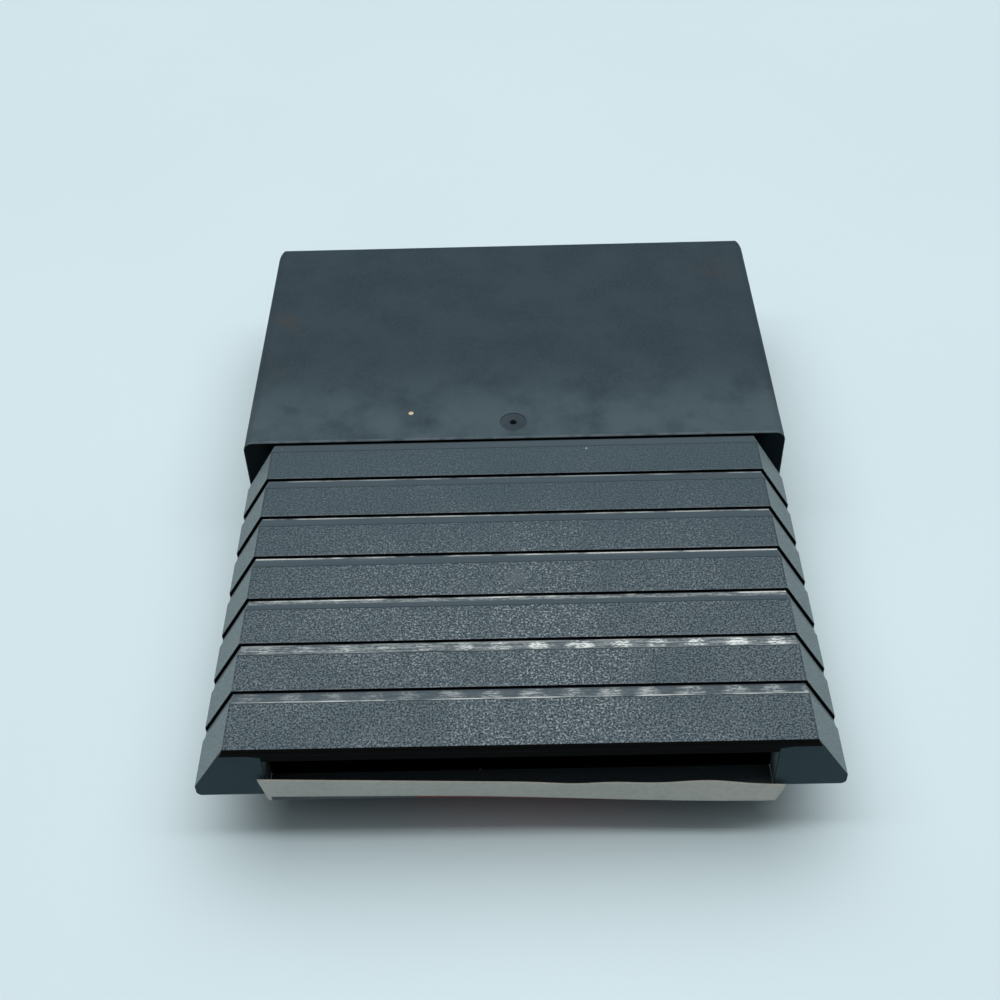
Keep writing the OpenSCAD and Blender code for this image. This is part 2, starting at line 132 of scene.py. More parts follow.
def lamp_above(name, place, length, power):
    lamp_data = bpy.data.lights.new(name, "AREA")
    lamp_data.shape = "RECTANGLE"
    lamp_data.size = LAMP_WIDTH
    lamp_data.size_y = length
    lamp_data.energy = power
    lamp = bpy.data.objects.new(name, lamp_data)
    lamp.location = (0, place, LAMP_HEIGHT)
    bpy.context.scene.collection.objects.link(lamp)


lamp_above("narrow_lamp", NARROW_PLACE, NARROW_LENGTH, NARROW_POWER)
lamp_above("broad_lamp", BROAD_PLACE, BROAD_LENGTH, BROAD_POWER)
world = bpy.data.worlds.new("sky")
world.use_nodes = True
sky = world.node_tree
direction = sky.nodes.new("ShaderNodeTexCoord")
height = sky.nodes.new("ShaderNodeSeparateXYZ")
rise = sky.nodes.new("ShaderNodeMapRange")
rise.interpolation_type = "SMOOTHSTEP"
rise.inputs["From Min"].default_value = DIM_BELOW
rise.inputs["From Max"].default_value = FULL_ABOVE
rise.inputs["To Max"].default_value = SKY_STRENGTH
sky.links.new(direction.outputs["Generated"], height.inputs[0])
sky.links.new(height.outputs["Z"], rise.inputs["Value"])
sky.links.new(rise.outputs[0], sky.nodes["Background"].inputs["Strength"])
sky.nodes["Background"].inputs["Color"].default_value = (1, 1, 1, 1)
bpy.context.scene.world = world
bpy.context.scene.view_settings.view_transform = "Standard"

# %% [markdown]
# A finish is a graph of nodes, and a graph is long to write by hand.
# These few helpers add a node, set or link its sockets by name, and hand back the socket that comes out.
# Colours are given as they look on a screen, from 0 to 255, and turned into linear light here.
# Two more turn a shape into an object of the scene, and give a piece its material.

# %% Helpers for node graphs and pieces
def colour(red, green, blue):
    def linear(value):
        share = value / 255
        return share / 12.92 if share <= 0.04045 else ((share + 0.055) / 1.055) ** 2.4
    return (linear(red), linear(green), linear(blue), 1)


def put(tree, kind, sockets=None, **settings):
    made = tree.nodes.new(kind)
    for name, value in settings.items():
        setattr(made, name, value)
    for name, value in (sockets or {}).items():
        if isinstance(value, bpy.types.NodeSocket):
            tree.links.new(value, made.inputs[name])
        else:
            made.inputs[name].default_value = value
    return made


def math_of(tree, operation, first, second=0.0):
    return put(tree, "ShaderNodeMath", {0: first, 1: second}, operation=operation).outputs[0]


def times(tree, first, second):
    return math_of(tree, "MULTIPLY", first, second)


def plus(tree, first, second):
    return math_of(tree, "ADD", first, second)


def step_up(tree, value, start, end):
    """0 below start and 1 above end, smooth between them; with start above end it falls instead."""
    sockets = {"Value": value, "From Min": start, "From Max": end}
    return put(tree, "ShaderNodeMapRange", sockets, interpolation_type="SMOOTHSTEP").outputs[0]


def near(tree, value, centre, reach, core=0.0):
    """1 within the core of the centre and 0 from the reach on."""
    away = math_of(tree, "ABSOLUTE", math_of(tree, "SUBTRACT", value, centre))
    return step_up(tree, away, reach, core)


def spot(tree, where, place, radius, core=0.0):
    """1 within the core of a place and 0 from the radius on."""
    away = put(tree, "ShaderNodeVectorMath", {0: where, 1: place}, operation="DISTANCE")
    return step_up(tree, away.outputs["Value"], radius, core)


def blend_colour(tree, share, first, second):
    return put(tree, "ShaderNodeMix", {0: share, 6: first, 7: second}, data_type="RGBA").outputs[2]


def blend_value(tree, share, first, second):
    return put(tree, "ShaderNodeMix", {0: share, 2: first, 3: second}).outputs[0]


def noise(tree, where, scale, detail=2.0, roughness=0.5):
    sockets = {"Vector": where, "Scale": scale, "Detail": detail, "Roughness": roughness}
    return put(tree, "ShaderNodeTexNoise", sockets).outputs[0]


def stretched(tree, where, scale, place=(0, 0, 0)):
    return put(tree, "ShaderNodeMapping", {"Vector": where, "Scale": scale, "Location": place}).outputs[0]


def new_group(name, inputs, outputs):
    tree = bpy.data.node_groups.new(name, "ShaderNodeTree")
    for title, kind, value in inputs:
        socket = tree.interface.new_socket(title, in_out="INPUT", socket_type=kind)
        if value is not None:
            socket.default_value = value
    for title, kind in outputs:
        tree.interface.new_socket(title, in_out="OUTPUT", socket_type=kind)
    return tree, put(tree, "NodeGroupInput").outputs, put(tree, "NodeGroupOutput")


def use_group(tree, group, **sockets):
    made = put(tree, "ShaderNodeGroup", node_tree=group)
    for name, value in sockets.items():
        socket = made.inputs[name.replace("_", " ")]
        if isinstance(value, bpy.types.NodeSocket):
            tree.links.new(value, socket)
        else:
            socket.default_value = value
    return made.outputs


def new_material(name, **constants):
    material = bpy.data.materials.new(name)
    material.use_nodes = True
    tree = material.node_tree
    shader = tree.nodes["Principled BSDF"]
    for title, value in constants.items():
        shader.inputs[title.replace("_", " ")].default_value = value
    where = put(tree, "ShaderNodeTexCoord").outputs["Object"]
    return material, tree, shader, where


def finish(tree, shader, tone, rough, height, distance, strength=0.5, normal=None):
    """Links a colour, a roughness and a bump of some height to the shader."""
    tree.links.new(tone, shader.inputs["Base Color"])
    tree.links.new(rough, shader.inputs["Roughness"])
    bump = put(tree, "ShaderNodeBump", {"Strength": strength, "Distance": distance, "Height": height})
    if normal is not None:
        tree.links.new(normal, bump.inputs["Normal"])
    tree.links.new(bump.outputs[0], shader.inputs["Normal"])


def to_object(shape, name):
    """Turns a finished bmesh into an object of the scene, at the origin."""
    mesh = bpy.data.meshes.new(name)
    shape.to_mesh(mesh)
    shape.free()
    made = bpy.data.objects.new(name, mesh)
    bpy.context.scene.collection.objects.link(made)
    return made


def give(piece, material):
    piece.data.materials.clear()
    piece.data.materials.append(material)
    print("finish:", piece.name, "is", material.name, "with", len(material.node_tree.nodes), "nodes")


print("black plastic in linear light:", [round(c, 4) for c in colour(62, 72, 80)[:3]])

# %% [markdown]
# Spark erosion leaves a mould with tiny round craters, and the plastic comes out with their print.
# From a step away it is a grain: its hollows are a little darker and some of its tops glint.
# One group makes three things of it: a height for the bump, a shade for the hollows
# and a mask where the rib finish paints the glints in as a painted highlight.

# %% Shared effect: spark-eroded grain
def make_grain():
    inputs = [("Where", "NodeSocketVector", None), ("Size", "NodeSocketFloat", 0.0003)]
    outputs = [("Height", "NodeSocketFloat"), ("Shade", "NodeSocketFloat"), ("Glint", "NodeSocketFloat")]
    tree, given, out = new_group("spark_grain", inputs, outputs)
    scale = math_of(tree, "DIVIDE", 1.0, given["Size"])
    coarse = noise(tree, given["Where"], scale, detail=1.5, roughness=0.6)
    fine = noise(tree, given["Where"], times(tree, scale, 2.3), detail=1.0)
    height = blend_value(tree, 0.35, coarse, fine)
    other = noise(tree, stretched(tree, given["Where"], (1, 1, 1), (0.3, 0.1, 0.2)),
                  times(tree, scale, 0.9), detail=1.0, roughness=0.4)
    tree.links.new(height, out.inputs["Height"])
    tree.links.new(step_up(tree, height, 0.42, 0.6), out.inputs["Shade"])
    # The glint mask marks where a painted highlight goes.
    tree.links.new(step_up(tree, other, 0.55, 0.68), out.inputs["Glint"])
    return tree


grain_group = make_grain()
print("group:", grain_group.name, "with", len(grain_group.nodes), "nodes")

# %% [markdown]
# An edge that has been handled is a little rounder and paler than the faces beside it.
# The Bevel node gives the normal that a small round would have. Where it leaves the true normal,
# an edge is near. The same group hands that round normal on, so that even a sharp solid shows
# a soft edge to the light.

# %% Shared effect: worn edges
def make_worn_edges():
    inputs = [("Radius", "NodeSocketFloat", 0.0002), ("Where", "NodeSocketVector", None),
              ("Patch Size", "NodeSocketFloat", 0.002)]
    tree, given, out = new_group("worn_edges", inputs,
                                 [("Mask", "NodeSocketFloat"), ("Normal", "NodeSocketVector")])
    rounded = put(tree, "ShaderNodeBevel", {"Radius": given["Radius"]}, samples=4).outputs[0]
    straight = put(tree, "ShaderNodeNewGeometry").outputs["Normal"]
    facing = put(tree, "ShaderNodeVectorMath", {0: rounded, 1: straight}, operation="DOT_PRODUCT")
    edge = step_up(tree, facing.outputs["Value"], 0.995, 0.93)
    patches = noise(tree, given["Where"], math_of(tree, "DIVIDE", 1.0, given["Patch Size"]), detail=3.0)
    tree.links.new(times(tree, edge, step_up(tree, patches, 0.35, 0.6)), out.inputs["Mask"])
    tree.links.new(rounded, out.inputs["Normal"])
    return tree


edge_group = make_worn_edges()
print("group:", edge_group.name, "with", len(edge_group.nodes), "nodes")

# %% [markdown]
# Dust lies as single pale specks with wide gaps, and not as an even haze.
# Voronoi cells give one point to each cell: a small disc round a few of those points is a speck.
# The cell's own random colour picks which cells have one, and how large it is.

# %% Shared effect: dust specks
def make_dust():
    inputs = [("Where", "NodeSocketVector", None), ("Spacing", "NodeSocketFloat", 0.003),
              ("Amount", "NodeSocketFloat", 0.2), ("Speck", "NodeSocketFloat", 0.04)]
    tree, given, out = new_group("dust_specks", inputs, [("Mask", "NodeSocketFloat")])
    wander = put(tree, "ShaderNodeTexNoise", {"Vector": given["Where"], "Scale": 2500.0}).outputs["Color"]
    small = put(tree, "ShaderNodeVectorMath", {0: wander, "Scale": 0.1 * MM}, operation="SCALE").outputs[0]
    bent = put(tree, "ShaderNodeVectorMath", {0: given["Where"], 1: small}, operation="ADD").outputs[0]
    scale = math_of(tree, "DIVIDE", 1.0, given["Spacing"])
    cells = put(tree, "ShaderNodeTexVoronoi", {"Vector": bent, "Scale": scale})
    picked = put(tree, "ShaderNodeSeparateColor", {0: cells.outputs["Color"]}).outputs
    chosen = math_of(tree, "LESS_THAN", picked[0], given["Amount"])
    size = times(tree, given["Speck"], plus(tree, picked[1], 0.3))
    inside = math_of(tree, "LESS_THAN", cells.outputs["Distance"], size)
    tree.links.new(times(tree, chosen, inside), out.inputs["Mask"])
    return tree


dust_group = make_dust()
print("group:", dust_group.name, "with", len(dust_group.nodes), "nodes")

# %% [markdown]
# The back shell is one moulding with several finishes, because its mould was polished in some places only.
# Masks worked out from the place on the part tell them apart: the case, the rib flats, the slanted sides,
# the hollow slope of each groove, its upright wall, the end face and the hollow in it.
# Several of them also carry painted shade and painted highlights besides their finish.
# Along the grip, the distance from the rim repeats with each rib, so one pattern serves all seven grooves.

# %% Masks of the back shell
def back_masks(tree, where):
    axes = put(tree, "ShaderNodeSeparateXYZ", {0: where}).outputs
    across = math_of(tree, "ABSOLUTE", axes["X"])
    along = math_of(tree, "SUBTRACT", RIM_Y, axes["Y"])
    in_rib = math_of(tree, "MODULO", along, RIB_PITCH)
    sunk = math_of(tree, "SUBTRACT", RIB_Z, axes["Z"])
    mitre = times(tree, sunk, math.tan(SLANT_ANGLE / 2))
    past_ridge = math_of(tree, "SUBTRACT", plus(tree, across, mitre), GRIP_TOP_HALF)
    past_end = math_of(tree, "SUBTRACT", axes["Y"], END_Y)
    on_grip = step_up(tree, along, 0.02 * MM, 0.06 * MM)
    grooved = step_up(tree, along, GROOVED, GROOVED - 0.2 * MM)
    nearest = math_of(tree, "PINGPONG", along, RIB_PITCH / 2)
    wall = times(tree, step_up(tree, nearest, 0.06 * MM, 0.03 * MM), grooved)
    wall = times(tree, wall, step_up(tree, along, -0.06 * MM, -0.03 * MM))
    slope = step_up(tree, in_rib, GROOVE_RUN + 0.03 * MM, GROOVE_RUN - 0.03 * MM)
    return {"axes": axes, "across": across, "along": along, "in_rib": in_rib, "sunk": sunk,
            "past_ridge": past_ridge, "past_end": past_end, "on_grip": on_grip, "wall": wall,
            "rib": math_of(tree, "FLOOR", math_of(tree, "DIVIDE", along, RIB_PITCH)),
            "side": times(tree, on_grip, step_up(tree, past_ridge, -0.06 * MM, 0.06 * MM)),
            "slope": times(tree, times(tree, slope, grooved), on_grip),
            "grooved": times(tree, grooved, on_grip)}


print("grip length:", round((RIM_Y - END_Y) / MM, 2), "mm for", RIB_COUNT, "ribs")

# %% [markdown]
# The case is evenly matt, with a faint cloud in its tone, three old brown stains and a bare ring
# at the gate, and a painted sheen that pales it near the rim. A rib flat has coarser grain: dark
# between its grains and with painted glints on top, more so towards the end and the middle.
# A thin pale line along the rim and along each near edge is a painted highlight, broken in patches.

# %% Tones of the case and the ribs
STAINS = (((-36.4, 32.8, 19.6), 5.0, 0.5), ((34.8, 44.3, 19.6), 6.0, 0.4), ((-39.0, 20.0, 17.0), 7.0, 0.3))


def case_tone(tree, where, masks, fine):
    cloud = noise(tree, where, 110.0, detail=4.0, roughness=0.6)
    tone = blend_colour(tree, step_up(tree, cloud, 0.35, 0.65), colour(48, 61, 68), colour(54, 67, 74))
    tone = blend_colour(tree, times(tree, fine["Shade"], 0.5), tone, colour(66, 79, 86))
    # Painted sheen: the case is paler towards the rim.
    wear_and_sheen = times(tree, step_up(tree, masks["along"], -20 * MM, -2 * MM), step_up(tree, cloud, 0.2, 0.6))
    tone = blend_colour(tree, times(tree, wear_and_sheen, 0.55), tone, colour(86, 101, 108))
    brown = step_up(tree, noise(tree, where, 700.0, detail=4.0, roughness=0.7), 0.42, 0.62)
    for place, radius, share in STAINS:
        centre = tuple(side * MM for side in place)
        stain = times(tree, spot(tree, where, centre, radius * MM), times(tree, brown, share))
        tone = blend_colour(tree, stain, tone, colour(74, 68, 62))
    ring = spot(tree, where, GATE, 2.1 * MM, 1.9 * MM)
    tone = blend_colour(tree, times(tree, ring, 0.5), tone, colour(44, 52, 58))
    tone = blend_colour(tree, spot(tree, where, GATE, 0.62 * MM, 0.45 * MM), tone, colour(8, 10, 12))
    # Painted highlight: a thin pale line along the rim edge, broken in patches.
    edge = times(tree, near(tree, masks["along"], -0.2 * MM, 0.28 * MM, 0.1 * MM),
                 step_up(tree, noise(tree, where, 500.0, detail=3.0), 0.35, 0.6))
    return blend_colour(tree, times(tree, edge, 0.5), tone, colour(108, 118, 124))


def rib_tone(tree, where, masks, coarse):
    cloud = noise(tree, where, 70.0, detail=3.0)
    later = step_up(tree, masks["along"], -4 * MM, 44 * MM)
    middle = step_up(tree, masks["across"], 42 * MM, 6 * MM)
    hollows = blend_colour(tree, later, colour(63, 77, 84), colour(50, 61, 67))
    tops = blend_colour(tree, later, colour(76, 90, 97), colour(101, 115, 122))
    tone = blend_colour(tree, coarse["Shade"], hollows, tops)
    # Painted highlights: glints on the grain's tops, stronger towards the end and the middle.
    share = times(tree, blend_value(tree, later, 0.04, 0.48), blend_value(tree, middle, 0.25, 1))
    share = times(tree, share, step_up(tree, cloud, 0.25, 0.6))
    tone = blend_colour(tree, times(tree, coarse["Glint"], share), tone, colour(190, 200, 204))
    bare = spot(tree, where, SECOND_GATE, 2.0 * MM, 1.2 * MM)
    tone = blend_colour(tree, times(tree, bare, 0.5), tone, colour(90, 102, 108))
    # Painted highlight: a thin pale line along each rib's near edge and the grip's end, broken in patches.
    near_edge = near(tree, masks["in_rib"], RIB_PITCH - 0.1 * MM, 0.2 * MM)
    edge = math_of(tree, "MAXIMUM", times(tree, near_edge, masks["grooved"]),
                   near(tree, masks["along"], RIM_Y - END_Y, 0.22 * MM))
    wear_and_sheen = step_up(tree, noise(tree, where, 900.0, detail=3.0, roughness=0.6), 0.35, 0.62)
    tone = blend_colour(tree, times(tree, times(tree, edge, wear_and_sheen), 0.3), tone, colour(128, 138, 143))
    ridge = near(tree, masks["past_ridge"], -0.12 * MM, 0.16 * MM, 0.05 * MM)
    return blend_colour(tree, times(tree, ridge, 0.25), tone, colour(28, 34, 38))


def side_sheen_tone(tree, where, masks, fine):
    # Painted reflection: the slanted sides are paler than the top, from the pale floor seen at a grazing
    # angle.
    cloud = noise(tree, where, 90.0, detail=3.0)
    tone = blend_colour(tree, cloud, colour(97, 112, 116), colour(109, 124, 128))
    return blend_colour(tree, times(tree, fine["Shade"], 0.6), tone, colour(142, 157, 160))


print("stains at:", [place for place, radius, share in STAINS])

# %% [markdown]
# The hollow slopes are smooth, and their highlights are painted white: reflections of the light
# in the polished slopes. They differ from groove to groove: a thin line under the far wall,
# which gets stronger towards the end, then soft dashes over a pale slope, and on the last one
# a bright line at its lip with fainter dashes. So each pattern has a place across the slope,
# and a ramp with one step a rib gives its share.

# %% Painted highlights in the grooves
DASH_PERIOD = 5.0 * MM
FAR_LINE_SHARES = (0, 0.35, 0.6, 0.85, 1, 0.4, 0)
FILL_SHARES = (0, 0, 0, 0.05, 0.3, 0.27, 0.06)
FILL_ENDS = (0.3, 0.3, 0.3, 0.3, 0.38, 0.85, 0.95)
PATCH_SHARES = (0, 0, 0, 0, 0.3, 1, 0.45)
LIP_LINE_SHARES = (0, 0, 0, 0, 0, 0.25, 0.75)


def by_rib(tree, masks, shares):
    """A share for each rib: a ramp with one flat step a rib."""
    place = math_of(tree, "DIVIDE", plus(tree, masks["rib"], 0.5), RIB_COUNT)
    ramp = put(tree, "ShaderNodeValToRGB", {"Fac": place})
    ramp.color_ramp.interpolation = "CONSTANT"
    ramp.color_ramp.elements[1].color = (0, 0, 0, 1)
    for number, share in enumerate(shares):
        steps = ramp.color_ramp.elements
        step = steps.new(number / RIB_COUNT) if number else steps[0]
        step.color = (share, share, share, 1)
    return ramp.outputs["Color"]


def groove_highlights(tree, where, masks):
    """How far each place of a slope has a painted highlight, from 0 to 1."""
    across_slope = math_of(tree, "DIVIDE", masks["in_rib"], GROOVE_RUN)
    strokes = noise(tree, stretched(tree, where, (300, 4200, 4200)), 1.0, detail=1.0, roughness=0.4)
    shifted = stretched(tree, where, (1900, 5200, 5200), (3, 1, 2))
    specks = noise(tree, shifted, 1.0, detail=1.0, roughness=0.4)
    strokes = step_up(tree, blend_value(tree, 0.5, strokes, specks), 0.43, 0.62)
    shifted = stretched(tree, where, (150, 500, 500), (7, 3, 1))
    long_dashes = step_up(tree, noise(tree, shifted, 1.0, detail=4.0, roughness=0.6), 0.38, 0.6)
    drift = noise(tree, where, 90.0, detail=2.0)
    turn = plus(tree, times(tree, masks["axes"]["X"], 2 * math.pi / DASH_PERIOD),
                plus(tree, times(tree, masks["rib"], 1.7), times(tree, drift, 4.0)))
    round_patch = math_of(tree, "SUBTRACT", math_of(tree, "SINE", turn),
                          times(tree, math_of(tree, "ABSOLUTE", plus(tree, across_slope, -0.6)), 1.6))
    patches = step_up(tree, round_patch, -1.3, 0.45)

    far_line = near(tree, across_slope, 0.09, 0.09, 0.03)
    far_line = times(tree, times(tree, far_line, by_rib(tree, masks, FAR_LINE_SHARES)), long_dashes)
    end = math_of(tree, "SUBTRACT", by_rib(tree, masks, FILL_ENDS), across_slope)
    body = times(tree, step_up(tree, across_slope, 0.03, 0.12), step_up(tree, end, -0.12, 0.1))
    fill = times(tree, by_rib(tree, masks, FILL_SHARES), blend_value(tree, strokes, 0.15, 1))
    right = blend_value(tree, step_up(tree, masks["axes"]["X"], -14 * MM, 4 * MM), 0.5, 1)
    patches = times(tree, times(tree, patches, right), by_rib(tree, masks, PATCH_SHARES))
    patches = times(tree, patches, blend_value(tree, strokes, 0.12, 1))
    lip_line = near(tree, across_slope, 0.88, 0.1, 0.04)
    lip_line = times(tree, times(tree, lip_line, by_rib(tree, masks, LIP_LINE_SHARES)), long_dashes)
    broad = times(tree, body, math_of(tree, "MAXIMUM", fill, patches))
    return math_of(tree, "MAXIMUM", broad, math_of(tree, "MAXIMUM", far_line, lip_line))


def slope_tone(tree, where, masks, slope_highlights):
    cloud = noise(tree, stretched(tree, where, (60, 400, 400)), 1.0, detail=3.0)
    tone = blend_colour(tree, cloud, colour(68, 80, 87), colour(80, 93, 100))
    # Painted highlights: the slope's reflections, blended towards white.
    tone = blend_colour(tree, slope_highlights, tone, colour(224, 231, 230))
    # Painted shade: a thin dark line where the slope meets the rib flat.
    lip = near(tree, masks["in_rib"], GROOVE_RUN - 0.06 * MM, 0.15 * MM, 0.07 * MM)
    return blend_colour(tree, times(tree, lip, 0.65), tone, colour(26, 32, 36))


print("dashes every", round(DASH_PERIOD / MM, 1), "mm")

# %% [markdown]
# The end of the grip and the rim of the case face the viewer and take little light.
# These faces are polished, and painted shade makes them nearly black: each groove's upright wall,
# the band over the end and the hollow under it, whose side walls get painted light instead.
# The rim faces beside the grip get painted shade too, darkest next to its slanted sides.
# The end face has a painted shadow under the band, in a wedge that deepens towards the hollow.

# %% Dark places
# Painted shade: the near black of the shaded faces.
SHADE_BLACK = colour(2, 3, 3)


def dark_places(tree, masks, tone):
    """The tone with its painted shade and painted light, and a mask of the places that are polished."""
    # Painted shade: the rim faces beside the grip are near black, darkest next to its slanted sides, and
    # each groove's upright wall is near black.
    rim_face = blend_colour(tree, step_up(tree, masks["past_ridge"], 0.4 * MM, 3.5 * MM),
                            colour(4, 6, 7), colour(20, 29, 33))
    wall = blend_colour(tree, step_up(tree, masks["along"], 1 * MM, 0.5 * MM), colour(4, 5, 6), rim_face)
    tone = blend_colour(tree, masks["wall"], tone, wall)
    past_end, across, sunk = masks["past_end"], masks["across"], masks["sunk"]
    end_face = step_up(tree, past_end, END_SETBACK + 0.1 * MM, END_SETBACK + 0.05 * MM)
    under_band = math_of(tree, "SUBTRACT", sunk, END_BAND)
    # Painted shadow: a wedge under the band, deepening towards the hollow.
    wedge = times(tree, math_of(tree, "SUBTRACT", GRIP_TOP_HALF, across), 0.2)
    wedge = step_up(tree, math_of(tree, "SUBTRACT", wedge, under_band), -0.1 * MM, 0.1 * MM)
    over_pocket = step_up(tree, across, POCKET_HALF + 0.1 * MM, POCKET_HALF + 0.04 * MM)
    black = math_of(tree, "MAXIMUM", wedge, over_pocket)
    end_tone = blend_colour(tree, black, colour(62, 77, 83), SHADE_BLACK)
    tone = blend_colour(tree, end_face, tone, end_tone)
    # Painted shade: the band over the end is near black.
    band = times(tree, step_up(tree, past_end, 0.1 * MM, 0.06 * MM),
                 step_up(tree, sunk, 0.01 * MM, 0.04 * MM))
    tone = blend_colour(tree, band, tone, SHADE_BLACK)
    depth = step_up(tree, past_end, END_SETBACK + 0.05 * MM, END_SETBACK + 0.1 * MM)
    beyond = END_SETBACK + POCKET_DEPTH + 0.4 * MM
    inside = times(tree, depth, step_up(tree, past_end, beyond + 0.4 * MM, beyond))
    below = step_up(tree, masks["axes"]["Z"], POCKET_TOP + 0.05 * MM, POCKET_TOP - 0.05 * MM)
    inside = times(tree, inside, times(tree, over_pocket, below))
    # Painted shade inside the hollow, with painted light on its side walls.
    inner_wall = step_up(tree, across, POCKET_HALF - 0.03 * MM, POCKET_HALF - 0.01 * MM)
    pocket = blend_colour(tree, inner_wall, colour(3, 4, 4), colour(118, 138, 138))
    smooth = math_of(tree, "MAXIMUM", math_of(tree, "MAXIMUM", masks["wall"], band),
                     math_of(tree, "MAXIMUM", inside, times(tree, end_face, black)))
    return blend_colour(tree, inside, tone, pocket), smooth


print("hollow in the end:", round(2 * POCKET_HALF / MM, 1), "mm wide")

# %% [markdown]
# The tones come together in one material. Its roughness and its bump follow the same masks as its colour:
# coarse grain on the grip, fine grain on the case, and none where the mould was polished.

# %% Finish of the back shell
CRUMB = (-15.5 * MM, 8.5 * MM, TOP_Z)


def make_back_plastic():
    material, tree, shader, where = new_material("back_plastic", IOR=1.5, Specular_IOR_Level=0.02)
    masks = back_masks(tree, where)
    coarse = use_group(tree, grain_group, Where=where, Size=0.26 * MM)
    fine = use_group(tree, grain_group, Where=where, Size=0.17 * MM)
    edges = use_group(tree, edge_group, Radius=0.14 * MM, Where=where, Patch_Size=3.0 * MM)
    slope_highlights = groove_highlights(tree, where, masks)
    tone = blend_colour(tree, masks["on_grip"], case_tone(tree, where, masks, fine),
                        rib_tone(tree, where, masks, coarse))
    tone = blend_colour(tree, masks["side"], tone, side_sheen_tone(tree, where, masks, coarse))
    not_side = math_of(tree, "SUBTRACT", 1.0, masks["side"])
    flat = times(tree, masks["on_grip"], not_side)
    on_slope = times(tree, masks["slope"], not_side)
    tone = blend_colour(tree, on_slope, tone, slope_tone(tree, where, masks, slope_highlights))
    tone, smooth = dark_places(tree, masks, tone)
    specks = use_group(tree, dust_group, Where=where, Spacing=5.0 * MM, Amount=0.2, Speck=0.03)["Mask"]
    tone = blend_colour(tree, times(tree, specks, 0.6), tone, colour(170, 175, 172))
    crumb = spot(tree, where, CRUMB, 0.45 * MM, 0.3 * MM)
    tone = blend_colour(tree, crumb, tone, colour(196, 184, 160))

    rough = blend_value(tree, masks["side"], blend_value(tree, flat, 0.5, 0.46), 0.4)
    rough = blend_value(tree, on_slope, rough, blend_value(tree, slope_highlights, 0.24, 0.45))
    rough = blend_value(tree, smooth, rough, 0.35)
    height = blend_value(tree, flat, times(tree, fine["Height"], 0.4), coarse["Height"])
    height = blend_value(tree, math_of(tree, "MAXIMUM", smooth, on_slope), height, 0.3)
    finish(tree, shader, tone, rough, height, 0.06 * MM, normal=edges["Normal"])
    return material


give(nodes["back_shell"], make_back_plastic())

# %% [markdown]
# The front shell is the same plastic, with a fine even grain and no polished grooves.
# Its table side rubs on shelves, so the edges carry a little more wear.

# %% Finish of the front shell
def make_front_plastic():
    material, tree, shader, where = new_material("front_plastic", IOR=1.5, Specular_IOR_Level=0.15)
    fine = use_group(tree, grain_group, Where=where, Size=0.17 * MM)
    cloud = noise(tree, where, 90.0, detail=3.0)
    edges = use_group(tree, edge_group, Radius=0.2 * MM, Where=where, Patch_Size=4.0 * MM)
    scratches = noise(tree, stretched(tree, where, (150, 2600, 2600)), 1.0, detail=3.0, roughness=0.7)
    tone = blend_colour(tree, cloud, colour(44, 53, 58), colour(54, 62, 67))
    tone = blend_colour(tree, times(tree, fine["Shade"], 0.4), tone, colour(66, 75, 80))
    scratched = times(tree, step_up(tree, scratches, 0.66, 0.72), 0.3)
    tone = blend_colour(tree, scratched, tone, colour(104, 112, 116))
    tone = blend_colour(tree, times(tree, edges["Mask"], 0.35), tone, colour(120, 126, 128))
    rough = blend_value(tree, cloud, 0.42, 0.54)
    finish(tree, shader, tone, rough, fine["Height"], 0.03 * MM, 0.4, edges["Normal"])
    return material


give(nodes["front_shell"], make_front_plastic())

# %% [markdown]
# The label is one paper sheet: it lies on the sloping panel, turns up round the panel's end
# and stands free there. It is a grid with its corners moved. Along it, each row is a place
# on a path of a straight, a fold and a straight. The free end has let go on the right,
# so the fold bulges there, and its edge is wavy and out of level.

# %% The label's sheet
LABEL_THICKNESS = 0.16 * MM
PANEL_WIDTH = 63.3 * MM
PANEL_START = Vector((label_high.y, label_low.z + LABEL_THICKNESS))
FOLD_LEFT = Vector((-52.75, 7.95)) * MM
FOLD_RIGHT = Vector((-54.0, 7.6)) * MM
EDGE_LEFT = Vector((-32.3, -53.75, 14.1)) * MM
EDGE_RIGHT = Vector((32.9, -53.7, 11.0)) * MM
FOLD_REACH = 0.9 * MM
ACROSS_STEPS = 96
ALONG_STEPS = 60
PANEL_SHARE = 0.5
FOLD_SHARE = 0.7
EDGE_WAVES = ((6.3 * MM, 3.5 * MM, -0.27 * MM), (11.8 * MM, 3.0 * MM, 0.15 * MM),
              (23.3 * MM, 4.5 * MM, 0.67 * MM))


def smooth_share(value, start, end):
    share = min(1, max(0, (value - start) / (end - start)))
    return share * share * (3 - 2 * share)


def label_point(across, along):
    """Place on the sheet, and its distance past the fold; across and along both run from 0 to 1."""
    fold = FOLD_LEFT.lerp(FOLD_RIGHT, smooth_share(across, 0.3, 1))
    edge = EDGE_LEFT.lerp(EDGE_RIGHT, across)
    for place, width, height in EDGE_WAVES:
        edge.z += height * math.exp(-((edge.x - place) / width) ** 2)
    top = Vector((edge.y, edge.z))
    before = fold + (PANEL_START - fold).normalized() * FOLD_REACH
    after = fold + (top - fold).normalized() * FOLD_REACH
    if along < PANEL_SHARE:
        place = PANEL_START.lerp(before, along / PANEL_SHARE)
        past = -(place - fold).length
    elif along < FOLD_SHARE:
        turn = (along - PANEL_SHARE) / (FOLD_SHARE - PANEL_SHARE)
        place = before.lerp(fold, turn).lerp(fold.lerp(after, turn), turn)
        past = FOLD_REACH * (2 * turn - 1)
    else:
        place = after.lerp(top, (along - FOLD_SHARE) / (1 - FOLD_SHARE))
        past = (place - fold).length
    fold_x = PANEL_WIDTH * (across - 0.5)
    rise = max(0, past) / (top - fold).length
    x = fold_x + (edge.x - fold_x) * rise
    return Vector((x, place.x, place.y)), past


